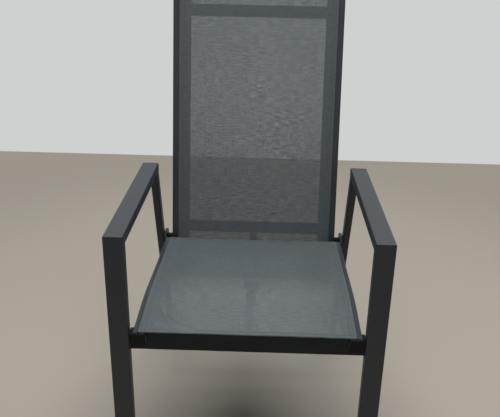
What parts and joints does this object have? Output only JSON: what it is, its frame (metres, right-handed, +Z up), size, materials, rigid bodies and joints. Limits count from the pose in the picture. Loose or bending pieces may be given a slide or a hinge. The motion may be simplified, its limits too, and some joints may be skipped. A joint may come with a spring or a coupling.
{
  "type": "sling patio chair",
  "caption": "High-backed outdoor armchair with a woven sling seat and a sling back that reclines on a lockable gas spring.",
  "frame": {"origin": "on the floor, under the middle of the chair's outer size", "axes": "+Z up, -Y the way the sitter faces, +X to the right of someone who looks at the chair from its front"},
  "size_m": [0.56, 0.668, 1.0757],
  "materials": {
    "coat": "anthracite powder coat, fine texture, satin",
    "sling": "open woven PVC-coated polyester mesh, grey",
    "black_plastic": "moulded black, fine grain",
    "zinc": "zinc plated",
    "chrome": "hard chromed and polished",
    "black_enamel": "black enamel, semi-gloss"
  },
  "bodies": {
    "frame": {"left_front_leg": "coat", "left_armrest": "coat", "left_arm_plug": "black_plastic", "left_rear_leg": "coat", "left_front_foot": "black_plastic", "left_rear_foot": "black_plastic", "left_hinge_plate": "coat", "left_hinge_bolt": "zinc", "left_hinge_bush": "black_plastic", "left_seat_front_bolt": "zinc", "left_seat_rail": "coat", "left_seat_front_cap": "black_plastic", "left_seat_rear_cap": "black_plastic", "left_seat_rear_bolt": "zinc", "left_seat_spacer": "black_plastic", "left_seat_keder": "black_plastic", "right_front_leg": "coat", "right_armrest": "coat", "right_arm_plug": "black_plastic", "right_rear_leg": "coat", "right_front_foot": "black_plastic", "right_rear_foot": "black_plastic", "right_hinge_plate": "coat", "right_hinge_bolt": "zinc", "right_hinge_bush": "black_plastic", "right_seat_front_bolt": "zinc", "right_seat_rail": "coat", "right_seat_front_cap": "black_plastic", "right_seat_rear_cap": "black_plastic", "right_seat_rear_bolt": "zinc", "right_seat_spacer": "black_plastic", "right_seat_keder": "black_plastic", "front_crossbar": "coat", "rear_crossbar": "coat", "seat_front_crossbar": "coat", "seat_rear_crossbar": "coat", "seat_sling": "sling", "spring_bracket": "coat", "spring_bracket_pin": "zinc", "paddle_bracket": "coat"},
    "back": {"left_back_rail": "coat", "left_back_top_cap": "black_plastic", "left_back_bottom_cap": "black_plastic", "left_back_keder": "black_plastic", "right_back_rail": "coat", "right_back_top_cap": "black_plastic", "right_back_bottom_cap": "black_plastic", "right_back_keder": "black_plastic", "back_upper_crossbar": "coat", "back_lower_crossbar": "coat", "lever_post": "coat", "lever_fork": "coat", "lever_fork_pin": "zinc", "back_sling": "sling"},
    "cylinder": {"gas_cylinder": "black_enamel"},
    "piston_rod": {"gas_rod": "chrome", "rod_sleeve": "black_enamel", "release_head": "black_enamel"},
    "valve_lever": {"release_lever": "zinc"},
    "paddle": {"release_paddle": "black_plastic"}
  },
  "joints": [
    {"name": "back_recline", "type": "hinge", "parent": "frame", "child": "back", "pos_m": [0, 0.18355, 0.41604], "axis": [-1, 0, 0], "range_deg": [0, 30]},
    {"name": "spring_swing", "type": "hinge", "parent": "frame", "child": "cylinder", "pos_m": [0, -0.24195, 0.40024], "axis": [1, 0, 0], "range_deg": [0, 2.21]},
    {"name": "rod_slide", "type": "slide", "parent": "cylinder", "child": "piston_rod", "axis": [0, -0.9591, 0.2832], "range_m": [0, 0.069]},
    {"name": "paddle_pull", "type": "hinge", "parent": "frame", "child": "paddle", "pos_m": [0.26, -0.22195, 0.619], "axis": [-1, 0, 0], "range_deg": [0, 9], "stiffness_Nm_per_rad": 0.5, "springref_deg": -5.73},
    {"name": "valve_pull", "type": "hinge", "parent": "piston_rod", "child": "valve_lever", "pos_m": [0, 0.13285, 0.2802], "axis": [-1, 0, 0], "range_deg": [0, 11]}
  ],
  "couplings": [
    {"joint": "spring_swing", "follows": "back_recline", "ratio": 0.073476},
    {"joint": "rod_slide", "follows": "back_recline", "m_per_rad": 0.13156},
    {"joint": "valve_pull", "follows": "paddle_pull", "ratio": 1.2}
  ]
}
